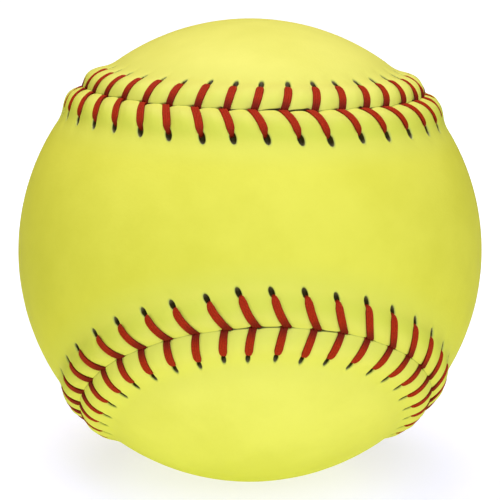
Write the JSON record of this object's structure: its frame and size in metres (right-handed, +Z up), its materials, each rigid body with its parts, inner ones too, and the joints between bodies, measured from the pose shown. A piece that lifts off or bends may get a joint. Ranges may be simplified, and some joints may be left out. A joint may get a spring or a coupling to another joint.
{
  "type": "softball",
  "caption": "Leather-covered softball: moulded core, two interlocking figure-eight cover panels with raised lips, laced along the seam by waxed threads in a chevron stitch.",
  "frame": {"origin": "centre of the ball", "axes": "+Z up; the front panel's waist faces -Y and leans 20 degrees up from it; the front panel's lobes lie along X"},
  "size_m": [0.097, 0.0995, 0.097],
  "materials": {
    "core_foam": "moulded polyurethane foam",
    "cement": "dried latex film",
    "cover_leather": "dyed optic yellow, fine grain",
    "red_thread": "waxed twisted cotton"
  },
  "bodies": {
    "root": {"core": "core_foam", "front_cement": "cement", "back_cement": "cement", "front_panel": "cover_leather", "back_panel": "cover_leather", "thread_one": "red_thread", "thread_two": "red_thread"}
  },
  "joints": []
}
